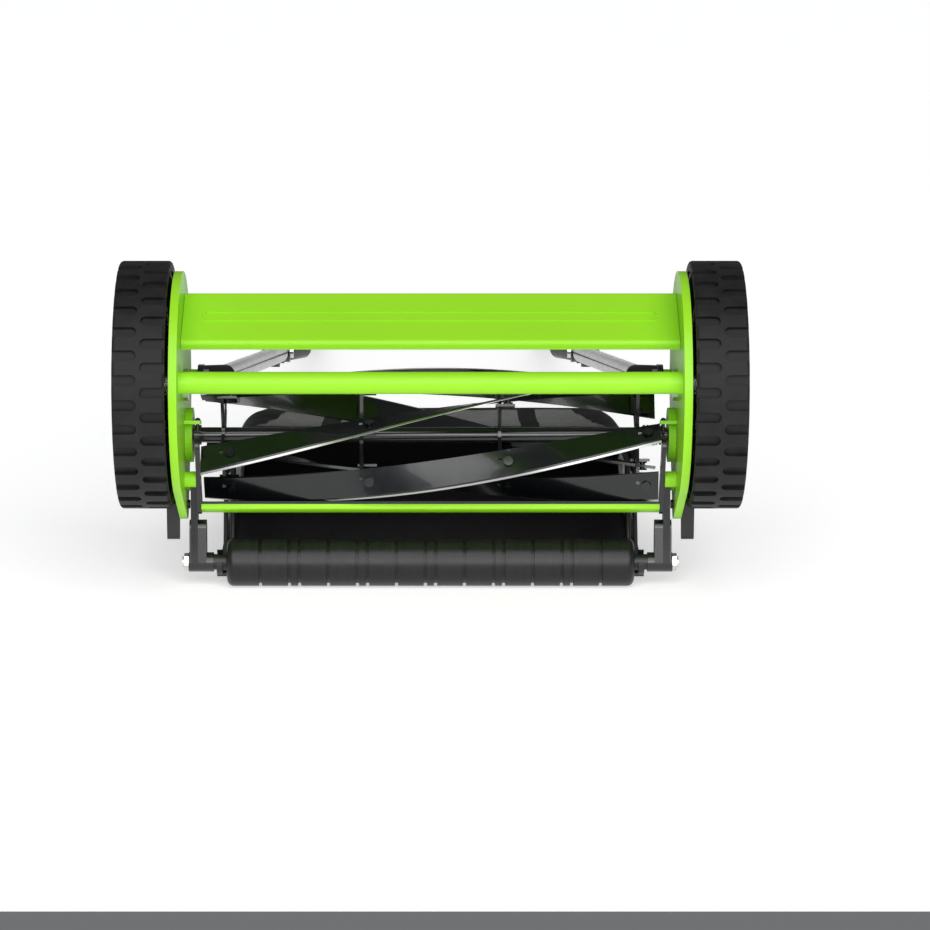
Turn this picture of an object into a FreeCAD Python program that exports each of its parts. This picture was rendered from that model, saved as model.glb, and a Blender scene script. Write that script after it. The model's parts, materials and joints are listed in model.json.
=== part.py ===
import FreeCAD, Part
import math
import os
import Sketcher

# Push reel mower, laid back on its roller and its handle grip.
#
# Every piece is laid out in the mower's own working attitude: X to the right, Y to the
# rear, Z up, with the wheel axle at the origin.  REST then tips the whole mower back
# about X until the roller and the grip both touch the floor plane Z = 0.
# Right-hand pieces are drawn, and left-hand ones are their mirror images in X = 0.

V = FreeCAD.Vector
doc = FreeCAD.newDocument("reel_mower")
sheet = doc.addObject("Spreadsheet::Sheet", "sizes")
DRIVING = {
    # wheels and tyres
    "tyre_radius": 108, "tyre_gap": 10, "tyre_width": 44.5, "tyre_depth": 9, "tyre_rounding": 3,
    "tread_depth": 3.5, "tread_count": 32, "tread_groove": 9, "tread_mid": 3,
    "rim_wall": 4, "rim_inset": 2, "wheel_depth": 21, "disc_wall": 4, "rib_depth": 6,
    "hub_radius": 16, "axle_radius": 8, "axle_flange": 6, "clip_groove": 1, "clip_wall": 1.2,
    "bush_wall": 3, "running_fit": 0.05,
    # gears
    "gear_module": 2, "ring_teeth": 68, "pinion_teeth": 12, "pressure_angle": 25,
    "backlash": 0.3, "ring_wall": 5, "spacer_length": 14.5, "spacer_wall": 4, "ring_face": 18,
    "pinion_face": 12, "pinion_inset": 2,
    # side plates
    "end_gap": 15, "sheet_wall": 2.5, "dish_radius": 99, "flange_depth": 7,
    "lobe_y": 108, "lobe_drop": 46, "lobe_radius": 13, "boss_radius": 24, "boss_depth": 6,
    # reel
    "reel_width": 400, "reel_radius": 59, "reel_drop_angle": 10.8, "blade_count": 5,
    "blade_twist": 102, "blade_inner": 37, "blade_lean": 19, "blade_wall": 2.4,
    "blade_bevel": 3, "blade_land": 0.4, "blade_phase": 206,
    "shaft_radius": 6.8, "journal_radius": 5, "bearing_radius": 16, "bearing_lip": 1.5,
    "spider_wall": 3, "spider_hub": 15, "spider_arm": 15, "spider_inset": 18,
    "tab_inset": 9, "tab_wall": 2.2, "tab_length": 17,
    "rivet_inset": 16, "rivet_radius": 2.5, "rivet_head": 4.2, "rivet_dome": 1.4,
    "spring_radius": 8, "spring_wire": 1, "spring_turns": 6,
    "collar_radius": 8.8, "collar_length": 6, "collar_gap": 2,
    # bed knife
    "knife_angle": 30, "knife_gap": 0.4, "knife_lift": 27, "knife_depth": 24,
    "knife_wall": 2, "knife_bevel": 2.2, "carrier_setback": 2, "carrier_depth": 8,
    "carrier_wall": 4.5, "carrier_tail": 13, "tail_wall": 3, "knife_arm_gap": 13.5,
    "knife_arm_wall": 3.5, "knife_pivot_y": 64, "knife_pivot_drop": 54,
    "arm_rear_y": 9.3, "arm_rear_z": 4.9, "arm_rear_radius": 9,
    "arm_front_y": 30, "arm_front_drop": 45, "arm_front_radius": 7,
    "adjuster_y": 26, "adjuster_drop": 23, "adjuster_gap": 0.6,
    # roller and its brackets
    "roller_y": 139, "roller_drop": 86.8, "roller_radius": 21.2, "roller_gap": 12,
    "roller_rounding": 6, "roller_shaft": 5, "collar_wall": 2,
    "groove_pitch": 30.1, "groove_width": 3, "groove_depth": 2.5,
    "bracket_gap": 9.5, "bracket_wall": 6, "bracket_end": 10,
    "bracket_pivot_y": 88, "bracket_pivot_drop": 38,
    "foot_radius": 8.7, "foot_gap": 1, "foot_length": 22, "nut_depth": 4,
    "leg_inset": 1, "leg_wall": 15, "leg_top_y": 116, "leg_top_drop": 66, "leg_top_radius": 7,
    "lever_gap": 5, "lever_wall": 11, "lever_end": 7, "lever_tip": 4.5,
    "lever_tip_y": 128, "lever_tip_drop": 64,
    "lever_spring_radius": 8, "lever_spring_wall": 0.8,
    # cross members
    "tie_y": 53.6, "tie_drop": 45, "tie_radius": 9.5, "tie_wall": 1.5, "tie_end": 3.5,
    "cover_wall": 1.5, "cover_low_y": 60, "cover_low_drop": 4, "cover_high_y": 45,
    "cover_high_z": 69, "cover_depth": 8, "cover_bend": 4,
    # handle
    "handle_y": 59, "handle_z": 61, "handle_angle": 44.4, "handle_length": 1000,
    "fold_at": 500, "tube_radius": 9, "tube_wall": 1.5, "crimp": 30,
    "eye_gap": 12, "eye_wall": 5, "eye_margin": 2, "eye_strip": 15, "fold_strip": 22,
    "handle_joggle": 13, "handle_taper": 40, "bow_joggle": 16, "bow_radius": 42,
    "grip_radius": 15, "grip_length": 176, "grip_fit": 0.02, "grip_rounding": 3,
    "fold_bolt": 3, "fold_thread": 15, "knob_radius": 16, "knob_depth": 18,
    # grass catcher, placed from the roller's own line
    "catcher_front": 29.1, "catcher_back": 367.1, "catcher_overlap": 8, "catcher_high": 124,
    "catcher_rear_high": 82, "catcher_mouth": 49.1, "catcher_wall": 3, "mouth_lean": 0.4,
    "catcher_rounding": 24, "plate_edge": 3, "wire_radius": 2.5, "wire_inset": 10,
    "hook_wall": 3.6, "hook_width": 5, "hook_fit": 0.4,
    # fasteners
    "bolt_radius": 4, "bolt_head": 7, "bolt_head_high": 4.5, "gap": 0.3,
}
for row, (alias, size) in enumerate(DRIVING.items(), start=1):
    sheet.set("A%d" % row, alias)
    sheet.set("B%d" % row, str(size))
    sheet.setAlias("B%d" % row, alias)
DERIVED = {
    "centres": "=gear_module * (ring_teeth - pinion_teeth) / 2",
    "reel_y": "=centres * cos(reel_drop_angle * 1deg)",
    "reel_z": "=-centres * sin(reel_drop_angle * 1deg)",
    "knife_edge_y": "=reel_y + (reel_radius + knife_gap) * sin(knife_angle * 1deg)",
    "knife_edge_z": "=reel_z - (reel_radius + knife_gap) * cos(knife_angle * 1deg)",
    # stations across the width, each measured from the piece that it stands beside
    "web_x": "=reel_width / 2 + end_gap",
    "web_outer": "=web_x + sheet_wall",
    "ring_x": "=web_outer + spacer_length",
    "disc_x": "=ring_x + wheel_depth",
    "hub_end": "=disc_x + disc_wall + 3",
    "tyre_inner_x": "=web_x + tyre_gap",
    "spider_outer_x": "=reel_width / 2 - spider_inset",
    "spider_inner_x": "=spider_outer_x / 3",
    "knife_arm_x": "=web_x - knife_arm_gap",
    "bracket_x": "=web_x - bracket_gap",
    "foot_outer_x": "=web_x - foot_gap",
    "foot_inner_x": "=foot_outer_x - foot_length",
    "leg_x": "=foot_outer_x - leg_inset - leg_wall",
    "roller_half": "=foot_inner_x - roller_gap",
    "lever_x": "=web_outer + lever_gap",
    "tie_half": "=web_outer + tie_end",
    "eye_x": "=web_x - eye_gap",
    "handle_low_x": "=eye_x - handle_joggle",
    "handle_high_x": "=handle_low_x - handle_taper",
    "bow_x": "=handle_high_x - bow_joggle",
    "catcher_half": "=roller_half + catcher_overlap",
    "seat_radius": "=tyre_radius - tyre_depth",
    "bush_radius": "=axle_radius + running_fit + bush_wall",
    "roller_collar_radius": "=roller_shaft + collar_wall",
}
for row, (alias, formula) in enumerate(DERIVED.items(), start=len(DRIVING) + 1):
    sheet.set("A%d" % row, alias)
    sheet.set("B%d" % row, formula)
    sheet.setAlias("B%d" % row, alias)
doc.recompute()


def size(expression):
    """Value of an expression over the sheet's aliases, such as 'sizes.gap * 2'."""
    return float(sheet.evalExpression(expression))


def value(alias):
    """One driving dimension."""
    return float(getattr(sheet, alias))


# ---- places worked out from the driving dimensions (Y, Z pairs in the working attitude)

def polar(angle, radius=1.0):
    """(Y, Z) at an angle above the rearward direction."""
    turn = math.radians(angle)
    return (radius * math.cos(turn), radius * math.sin(turn))


def shifted(start, *steps):
    """A (Y, Z) point moved by (direction, distance) steps."""
    y, z = start
    for direction, distance in steps:
        y += direction[0] * distance
        z += direction[1] * distance
    return (y, z)


AXLE = (0.0, 0.0)
REEL = (value("reel_y"), value("reel_z"))
LOBE = (value("lobe_y"), -value("lobe_drop"))
ROLLER = (value("roller_y"), -value("roller_drop"))
KNIFE_PIVOT = (value("knife_pivot_y"), -value("knife_pivot_drop"))
BRACKET_PIVOT = (value("bracket_pivot_y"), -value("bracket_pivot_drop"))
HANDLE = (value("handle_y"), value("handle_z"))
TIE = (-value("tie_y"), -value("tie_drop"))
KNIFE_EDGE = (value("knife_edge_y"), value("knife_edge_z"))
GRIP = shifted(HANDLE, (polar(value("handle_angle")), value("handle_length")))

# Tip-back angle at which the roller and the grip stand on one plane.
SPAN = math.hypot(GRIP[0] - ROLLER[0], GRIP[1] - ROLLER[1])
RISE = math.degrees(math.atan2(GRIP[1] - ROLLER[1], GRIP[0] - ROLLER[0]))
TIP_BACK = RISE - math.degrees(math.asin((value("grip_radius") - value("roller_radius")) / SPAN))
TURN = FreeCAD.Rotation(V(1, 0, 0), -TIP_BACK)


def turned(point):
    """(Y, Z) of a working-attitude point after the tip-back turn about the axle."""
    out = TURN.multVec(V(0, point[0], point[1]))
    return (out.y, out.z)


FLOOR = turned(ROLLER)[1] - value("roller_radius")
MIDDLE = (turned(GRIP)[0] + value("grip_radius") - value("tyre_radius")) / 2
REST = FreeCAD.Placement(V(0, -MIDDLE, -FLOOR), TURN)
# The catcher lies on the floor, so it is drawn in floor axes, from below the roller's line.
CATCHER = FreeCAD.Placement(V(0, turned(ROLLER)[0] - MIDDLE, 0), FreeCAD.Rotation())
# Side view: a sketch's X is the mower's Y, its Y is the mower's Z, its normal is X.
SIDE = FreeCAD.Rotation(V(1, 1, 1), 120)


def side_view(point=AXLE, turn=0.0):
    """Placement of a side-view piece whose own axis is at a (Y, Z) point."""
    local = FreeCAD.Placement(V(0, point[0], point[1]), FreeCAD.Rotation(V(1, 0, 0), turn))
    return REST.multiply(local).multiply(FreeCAD.Placement(V(), SIDE))


# ---- building blocks

SUB_PARTS = []


def keep(obj, placement=None):
    """List an object as a sub-part, at its place."""
    if placement is not None:
        obj.Placement = placement
    SUB_PARTS.append(obj)
    return obj


def new_body(label, placement):
    body = doc.addObject("PartDesign::Body", label)
    body.Label = label
    return keep(body, placement)


def new_sketch(body, name, role, offset=None):
    """An empty sketch on one of the body's own origin planes."""
    plane = next(f for f in body.Origin.OriginFeatures if f.Role == role)
    sketch = body.newObject("Sketcher::SketchObject", name)
    sketch.AttachmentSupport = [(plane, "")]
    sketch.MapMode = "FlatFace"
    if offset is not None:
        sketch.setExpression("AttachmentOffset.Base.z", offset)
    return sketch


def bind_point(sketch, edge, end, across, up):
    """Fix a point of a sketch to two sheet expressions."""
    for kind, expression in (("DistanceX", across), ("DistanceY", up)):
        number = size(expression)
        index = sketch.addConstraint(Sketcher.Constraint(kind, -1, 1, edge, end, number))
        sketch.setExpression("Constraints[%d]" % index, expression)


def draw_polygon(sketch, corners):
    """Closed polygon whose corners are pairs of sheet expressions."""
    points = [V(size(across), size(up), 0) for across, up in corners]
    count = len(points)
    for index in range(count):
        sketch.addGeometry(Part.LineSegment(points[index], points[(index + 1) % count]))
    for index in range(count):
        sketch.addConstraint(Sketcher.Constraint("Coincident", index, 2, (index + 1) % count, 1))
    for index, (across, up) in enumerate(corners):
        bind_point(sketch, index, 1, across, up)


def draw_circle(sketch, radius, across="0", up="0"):
    centre = V(size(across), size(up), 0)
    edge = sketch.addGeometry(Part.Circle(centre, V(0, 0, 1), size(radius)))
    index = sketch.addConstraint(Sketcher.Constraint("Radius", edge, size(radius)))
    sketch.setExpression("Constraints[%d]" % index, radius)
    bind_point(sketch, edge, 3, across, up)


def draw_link(sketch, first, first_radius, second, second_radius):
    """Outline round two circles, each centre and radius a sheet expression."""
    c1, c2 = [V(size(c[0]), size(c[1]), 0) for c in (first, second)]
    r1, r2 = size(first_radius), size(second_radius)
    along = math.atan2(c2.y - c1.y, c2.x - c1.x)
    lean = math.acos((r1 - r2) / c1.distanceToPoint(c2))

    def on(centre, radius, angle):
        return centre + V(math.cos(angle), math.sin(angle), 0) * radius

    z_axis = V(0, 0, 1)
    near = Part.ArcOfCircle(Part.Circle(c1, z_axis, r1), along + lean, along - lean + 2 * math.pi)
    far = Part.ArcOfCircle(Part.Circle(c2, z_axis, r2), along - lean, along + lean)
    lower = Part.LineSegment(on(c1, r1, along - lean), on(c2, r2, along - lean))
    upper = Part.LineSegment(on(c2, r2, along + lean), on(c1, r1, along + lean))
    base = sketch.GeometryCount
    for edge in (near, lower, far, upper):
        sketch.addGeometry(edge)
    for edge, following in ((0, 1), (1, 2), (2, 3), (3, 0)):
        sketch.addConstraint(Sketcher.Constraint("Tangent", base + edge, 2, base + following, 1))
    for edge, radius, centre in ((0, first_radius, first), (2, second_radius, second)):
        index = sketch.addConstraint(Sketcher.Constraint("Radius", base + edge, size(radius)))
        sketch.setExpression("Constraints[%d]" % index, radius)
        bind_point(sketch, base + edge, 3, *centre)


def add_pad(body, name, start, length, draw):
    """Pad a side-view profile along +X, from start over length."""
    sketch = new_sketch(body, name + "_profile", "XY_Plane", start)
    draw(sketch)
    pad = body.newObject("PartDesign::Pad", name)
    pad.Profile = sketch
    pad.setExpression("Length", length)
    return pad


def add_pocket(body, name, start, length, draw):
    """Cut a side-view profile along +X, from start over length."""
    doc.recompute()
    before = body.Shape.Volume
    sketch = new_sketch(body, name + "_profile", "XY_Plane", start)
    draw(sketch)
    pocket = body.newObject("PartDesign::Pocket", name)
    pocket.Profile = sketch
    pocket.Reversed = True
    pocket.setExpression("Length", length)
    doc.recompute()
    if body.Shape.Volume > before - 0.1:
        raise RuntimeError(name + " removed nothing")
    return pocket


def add_turned(body, name, corners):
    """Revolve (radius, X) corners about the body's own axis."""
    sketch = new_sketch(body, name + "_profile", "XZ_Plane")
    draw_polygon(sketch, corners)
    turned_solid = body.newObject("PartDesign::Revolution", name)
    turned_solid.Profile = sketch
    turned_solid.ReferenceAxis = (sketch, ["V_Axis"])
    turned_solid.Angle = 360
    return turned_solid


def turned_part(label, point, corners):
    body = new_body(label, side_view(point))
    add_turned(body, label + "_turn", corners)
    return body


def ring(inner, outer, start, end):
    """Corners of a plain ring or tube profile."""
    return [(inner, start), (outer, start), (outer, end), (inner, end)]


def feature(label, shape, placement=REST):
    """A computed solid, or a group of separate solids, as one sub-part."""
    obj = doc.addObject("Part::Feature", label)
    obj.Label = label
    obj.Shape = shape
    return keep(obj, placement.multiply(shape.Placement))


def mirrored(source, label):
    """The left-hand twin of a right-hand sub-part."""
    twin = doc.addObject("Part::Mirroring", label)
    twin.Label = label
    twin.Source = source
    twin.Normal = V(1, 0, 0)
    return keep(twin)


def pair(source):
    """Name a right-hand sub-part and add its left-hand twin."""
    return mirrored(source, source.Label.replace("right", "left"))


def both(source, label):
    """One sub-part that holds a right-hand piece and its left-hand twin as separate solids."""
    SUB_PARTS.remove(source)
    twin = doc.addObject("Part::Mirroring", label + "_twin")
    twin.Source = source
    twin.Normal = V(1, 0, 0)
    group = doc.addObject("Part::Compound", label)
    group.Label = label
    group.Links = [source, twin]
    return keep(group)


def rod(start, end, radius):
    """Round bar between two points."""
    return Part.makeCylinder(radius, start.distanceToPoint(end), start, end - start)


def hexagon_bolt(start, direction, shank, length):
    """Hexagon head standing off a face, with its shank running back through it."""
    turn = FreeCAD.Rotation(V(0, 0, 1), direction)
    corners = [V(*polar(60 * k, value("bolt_head")), 0) for k in range(7)]
    head = Part.Face(Part.makePolygon(corners)).extrude(V(0, 0, value("bolt_head_high")))
    body = Part.makeCylinder(shank, length + 1, V(0, 0, -length))
    bolt = head.fuse(body)
    bolt.Placement = FreeCAD.Placement(start, turn)
    return bolt


# ---- side plates: a pressed dish round the axle, with a lobe for the height lever

def circle_at(radius, across="0", up="0"):
    return lambda sketch: draw_circle(sketch, radius, across, up)


def plate_outline(sketch, inset="0"):
    draw_link(sketch, ("0", "0"), "sizes.dish_radius - " + inset,
              ("sizes.lobe_y", "-sizes.lobe_drop"), "sizes.lobe_radius - " + inset)


def plate_flange(sketch):
    plate_outline(sketch)
    plate_outline(sketch, "sizes.sheet_wall")


plate = new_body("side_plate_right", side_view())
add_pad(plate, "web", "sizes.web_x", "sizes.sheet_wall", plate_outline)
add_pad(plate, "flange", "sizes.web_outer", "sizes.flange_depth - sizes.sheet_wall", plate_flange)
add_pad(plate, "boss", "sizes.web_x - sizes.boss_depth", "sizes.boss_depth",
        circle_at("sizes.boss_radius", "sizes.reel_y", "sizes.reel_z"))
PLATE_HOLES = (
    ("axle_hole", "sizes.axle_radius", "0", "0"),
    ("bearing_hole", "sizes.bearing_radius", "sizes.reel_y", "sizes.reel_z"),
    ("tie_hole", "sizes.tie_radius", "-sizes.tie_y", "-sizes.tie_drop"),
    ("knife_bolt_hole", "sizes.bolt_radius", "sizes.knife_pivot_y", "-sizes.knife_pivot_drop"),
    ("bracket_bolt_hole", "sizes.bolt_radius", "sizes.bracket_pivot_y",
     "-sizes.bracket_pivot_drop"),
    ("handle_bolt_hole", "sizes.bolt_radius", "sizes.handle_y", "sizes.handle_z"),
    ("lever_hole", "sizes.bolt_radius + sizes.running_fit", "sizes.lobe_y", "-sizes.lobe_drop"),
)
for hole, radius, across, up in PLATE_HOLES:
    add_pocket(plate, hole, "sizes.web_x - sizes.boss_depth - 1",
               "sizes.boss_depth + sizes.sheet_wall + 2", circle_at(radius, across, up))
pair(plate)

# ---- wheel axles, fixed in the webs, with the spacers that hold the wheels off them

CLIP_START = "sizes.hub_end + 1.5"
CLIP_END = CLIP_START + " + sizes.clip_wall"
axle = turned_part("axle_right", AXLE, [
    ("0", "sizes.web_x - 4"), ("sizes.axle_radius + sizes.axle_flange", "sizes.web_x - 4"),
    ("sizes.axle_radius + sizes.axle_flange", "sizes.web_x"), ("sizes.axle_radius", "sizes.web_x"),
    ("sizes.axle_radius", CLIP_START), ("sizes.axle_radius - sizes.clip_groove", CLIP_START),
    ("sizes.axle_radius - sizes.clip_groove", CLIP_END), ("sizes.axle_radius", CLIP_END),
    ("sizes.axle_radius", CLIP_END + " + 1.8"), ("0", CLIP_END + " + 1.8")])
pair(axle)
spacer = turned_part("axle_spacer_right", AXLE, ring(
    "sizes.axle_radius", "sizes.axle_radius + sizes.spacer_wall", "sizes.web_outer",
    "sizes.ring_x - sizes.gap"))
both(spacer, "axle_spacers")
clip = turned_part("axle_clip_right", AXLE, ring(
    "sizes.axle_radius - sizes.clip_groove", "sizes.axle_radius + 3", CLIP_START, CLIP_END))
both(clip, "axle_clips")

# ---- wheels: one-piece rim and disc with stiffening ribs, a plain bush and a dust cap

wheel = turned_part("wheel_right", AXLE, [
    ("sizes.bush_radius", "sizes.ring_x"), ("sizes.hub_radius", "sizes.ring_x"),
    ("sizes.hub_radius", "sizes.disc_x"), ("sizes.seat_radius - sizes.rim_wall", "sizes.disc_x"),
    ("sizes.seat_radius - sizes.rim_wall", "sizes.tyre_inner_x + sizes.rim_inset"),
    ("sizes.seat_radius", "sizes.tyre_inner_x + sizes.rim_inset"),
    ("sizes.seat_radius", "sizes.tyre_inner_x + sizes.tyre_width - sizes.rim_inset"),
    ("sizes.seat_radius - sizes.rim_wall",
     "sizes.tyre_inner_x + sizes.tyre_width - sizes.rim_inset"),
    ("sizes.seat_radius - sizes.rim_wall", "sizes.disc_x + sizes.disc_wall"),
    ("sizes.hub_radius", "sizes.disc_x + sizes.disc_wall"),
    ("sizes.hub_radius", "sizes.hub_end"), ("sizes.bush_radius", "sizes.hub_end")])


def rib_outline(sketch):
    start, end = "sizes.hub_radius + 10", "sizes.seat_radius - sizes.rim_wall + 1"
    draw_polygon(sketch, [(start, "-2"), (end, "-3"), (end, "3"), (start, "2")])


rib = add_pad(wheel, "rib", "sizes.disc_x + sizes.disc_wall", "sizes.rib_depth", rib_outline)
doc.recompute()
ribs = wheel.newObject("PartDesign::PolarPattern", "ribs")
ribs.Originals = [rib]
ribs.Axis = (rib.Profile[0], ["N_Axis"])
ribs.Angle = 360
ribs.Occurrences = 8
wheel.Tip = ribs
pair(wheel)
bush = turned_part("wheel_bush_right", AXLE, ring(
    "sizes.axle_radius + sizes.running_fit", "sizes.bush_radius", "sizes.ring_x", "sizes.hub_end"))
pair(bush)
cap = turned_part("hub_cap_right", AXLE, [
    ("0", "sizes.hub_end + 7"), ("sizes.hub_radius - 2", "sizes.hub_end + 7"),
    ("sizes.hub_radius + 5", "sizes.hub_end + 4"), ("sizes.hub_radius + 5", "sizes.hub_end - 3"),
    ("sizes.hub_radius + 8", "sizes.hub_end - 3"), ("sizes.hub_radius + 8", "sizes.hub_end + 4"),
    ("sizes.hub_radius", "sizes.hub_end + 9"), ("0", "sizes.hub_end + 10")])
pair(cap)


def make_tyre():
    """Ribbed tyre: two staggered rows of grooves that run out through the shoulders."""
    outer = value("tyre_radius")
    inner = value("seat_radius")
    width = value("tyre_width")
    tyre = Part.makeCylinder(outer, width).cut(Part.makeCylinder(inner, width))
    rims = [e for e in tyre.Edges if isinstance(e.Curve, Part.Circle) and e.Curve.Radius > inner + 1]
    tyre = tyre.makeFillet(value("tyre_rounding"), rims)
    half = value("tread_groove") / 2
    reach = (width - value("tread_mid")) / 2
    depth = value("tread_depth")
    pitch = 360 / value("tread_count")
    tools = []
    for row, (start, end_centre) in enumerate(((-1, reach - half), (width - reach + half, width + 1))):
        slot = Part.makeBox(depth + 1, 2 * half, end_centre - start, V(outer - depth, -half, start))
        centre = end_centre if row == 0 else start
        end = Part.makeCylinder(half, depth + 1, V(outer - depth, 0, centre), V(1, 0, 0))
        groove = slot.fuse(end)
        for index in range(int(value("tread_count"))):
            tool = groove.copy()
            tool.rotate(V(), V(0, 0, 1), (index + row / 2) * pitch)
            tools.append(tool)
    tyre = tyre.cut(tools)
    tyre.translate(V(0, 0, value("tyre_inner_x")))
    return tyre


pair(feature("tyre_right", make_tyre(), side_view()))


# ---- gears: an internal ring in each wheel drives a pinion on the reel shaft

def involute(angle):
    return math.tan(angle) - angle


def tooth_points(teeth, root, tip, thinning, steps=3):
    """Corners of every tooth of an external gear, the first centred on angle 0."""
    pitch_radius = value("gear_module") * teeth / 2
    pressure = math.radians(value("pressure_angle"))
    base = pitch_radius * math.cos(pressure)
    start = max(base, root)
    radii = [start + (tip - start) * k / steps for k in range(steps + 1)]
    if root < base:
        radii.insert(0, root)
    half_pitch = math.pi / (2 * teeth) - thinning / (2 * pitch_radius)
    flank = []
    for radius in radii:
        half = half_pitch + involute(pressure) - involute(math.acos(min(1.0, base / radius)))
        flank.append((radius, half))
    points = []
    for tooth in range(int(teeth)):
        centre = 2 * math.pi * tooth / teeth
        for radius, half in flank:
            points.append(V(radius * math.cos(centre - half), radius * math.sin(centre - half), 0))
        for radius, half in reversed(flank):
            points.append(V(radius * math.cos(centre + half), radius * math.sin(centre + half), 0))
    return points + points[:1]


def make_pinion():
    teeth = value("pinion_teeth")
    module = value("gear_module")
    middle = module * teeth / 2
    outline = Part.makePolygon(tooth_points(teeth, middle - 1.25 * module, middle + module,
                                            value("backlash") / 2))
    gear = Part.Face(outline).extrude(V(0, 0, value("pinion_face")))
    gear = gear.cut(Part.makeCylinder(value("journal_radius"), value("pinion_face")))
    gear.rotate(V(), V(0, 0, 1), -value("reel_drop_angle"))
    gear.translate(V(0, 0, value("ring_x") + value("pinion_inset")))
    return gear


def make_ring_gear():
    teeth = value("ring_teeth")
    module = value("gear_module")
    middle = module * teeth / 2
    root = middle + 1.25 * module
    face = value("ring_face")
    depth = value("disc_x") - value("ring_x")
    hollow = Part.Face(Part.makePolygon(tooth_points(teeth, middle - module, root,
                                                     -value("backlash") / 2)))
    spaces = hollow.extrude(V(0, 0, face))
    spaces.rotate(V(), V(0, 0, 1), -value("reel_drop_angle"))
    band = Part.makeCylinder(root + value("ring_wall"), depth)
    band = band.cut(Part.makeCylinder(root, depth - face, V(0, 0, face)))
    gear = band.cut(spaces)
    gear.translate(V(0, 0, value("ring_x")))
    return gear


pair(feature("ring_gear_right", make_ring_gear(), side_view()))
pair(feature("pinion_right", make_pinion(), side_view(REEL)))
PINION_END = "sizes.ring_x + sizes.pinion_inset + sizes.pinion_face"
pinion_clip = turned_part("pinion_clip_right", REEL, ring(
    "sizes.journal_radius", "sizes.journal_radius + 4", PINION_END,
    PINION_END + " + sizes.clip_wall"))
both(pinion_clip, "pinion_clips")

# ---- reel: shaft, bearings, spiders, helical blades and their rivets

SHAFT_END = "sizes.web_x - sizes.boss_depth - 1"
SHAFT_TIP = PINION_END + " + 3"
turned_part("reel_shaft", REEL, [
    ("0", "-(" + SHAFT_TIP + ")"), ("sizes.journal_radius", "-(" + SHAFT_TIP + ")"),
    ("sizes.journal_radius", "-(" + SHAFT_END + ")"),
    ("sizes.shaft_radius", "-(" + SHAFT_END + ")"),
    ("sizes.shaft_radius", SHAFT_END), ("sizes.journal_radius", SHAFT_END),
    ("sizes.journal_radius", SHAFT_TIP), ("0", SHAFT_TIP)])
bearing = turned_part("reel_bearing_right", REEL, ring(
    "sizes.journal_radius + sizes.running_fit", "sizes.bearing_radius",
    "sizes.web_x - sizes.boss_depth", "sizes.web_outer + sizes.bearing_lip"))
pair(bearing)
turned_part("shaft_collar", REEL, ring(
    "sizes.shaft_radius", "sizes.collar_radius",
    "-sizes.reel_width / 2 - sizes.collar_gap - sizes.collar_length",
    "-sizes.reel_width / 2 - sizes.collar_gap"))


def on_reel(radius, angle, along):
    turn = math.radians(angle)
    return V(radius * math.cos(turn), radius * math.sin(turn), along)


def blade_frame(index, along):
    """Cutting edge and root of one blade at a distance along, and its two directions there."""
    angle = value("blade_phase") + 360 / value("blade_count") * index
    angle -= value("blade_twist") * along / value("reel_width")
    edge = on_reel(value("reel_radius"), angle, along)
    root = on_reel(value("blade_inner"), angle - value("blade_lean"), along)
    inward = (root - edge).normalize()
    return edge, root, inward, V(0, 0, 1).cross(inward)


def make_blade(index):
    """Twisted strip; its bevel keeps the back corner inside the reel's radius."""
    half = value("reel_width") / 2
    wall = value("blade_wall")
    sections = []
    steps = 8
    for step in range(steps + 1):
        edge, root, inward, behind = blade_frame(index, -half + 2 * half * step / steps)
        bevel = edge + inward * value("blade_bevel") + behind * wall
        corners = [edge, root, root + behind * wall, bevel, edge + behind * value("blade_land")]
        sections.append(Part.makePolygon(corners + corners[:1]))
    return Part.makeLoft(sections, True, False)


def make_spider(along):
    """Hub and arms in one thin plate, each arm ending in a tab bent along its blade."""
    wall = value("spider_wall")
    hub = Part.makeCylinder(value("spider_hub"), wall, V(0, 0, along - wall / 2))
    arm_half = value("spider_arm") / 2
    tab_wall = value("tab_wall")
    pieces = []
    for index in range(int(value("blade_count"))):
        edge, root, inward, behind = blade_frame(index, along)
        root_distance = edge.distanceToPoint(root)
        seat = edge + inward * value("tab_inset")
        arm_end = edge + inward * (root_distance * 0.55)
        outward = V(arm_end.x, arm_end.y, 0).normalize()
        across = V(0, 0, 1).cross(outward)
        reach = math.hypot(arm_end.x, arm_end.y)
        low, high = across * -arm_half, across * arm_half
        base = V(0, 0, along - wall / 2)
        outline = [base + low, base + outward * reach + low * 0.6,
                   base + outward * reach + high * 0.6, base + high]
        arm = Part.Face(Part.makePolygon(outline + outline[:1])).extrude(V(0, 0, wall))
        tab = Part.makeBox(root_distance - value("tab_inset") - 1, value("tab_length"), tab_wall,
                           V(0, -4, value("blade_wall") - 0.4))
        tab_turn = FreeCAD.Rotation(inward, V(0, 0, 1), behind, "XYZ")
        tab.Placement = FreeCAD.Placement(seat, tab_turn)
        pieces.extend([arm, tab])
    return hub.fuse(pieces)


def make_rivet(index, along):
    """Shank and whole of a round-headed rivet through a tab and its blade."""
    edge, _, inward, behind = blade_frame(index, along)
    along_tab = V(0, 0, value("tab_length") / 2 - 1.5)
    centre = edge.add(inward * value("rivet_inset")).add(along_tab)
    dome = behind * value("rivet_dome")
    front = centre - behind * 0.25
    back = centre + behind * (value("blade_wall") + value("tab_wall"))
    shank = rod(front - behind * 0.5, back + behind * 0.5, value("rivet_radius"))
    heads = [rod(front - dome, front, value("rivet_head")), rod(back, back + dome, value("rivet_head"))]
    return shank, shank.fuse(heads)


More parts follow.
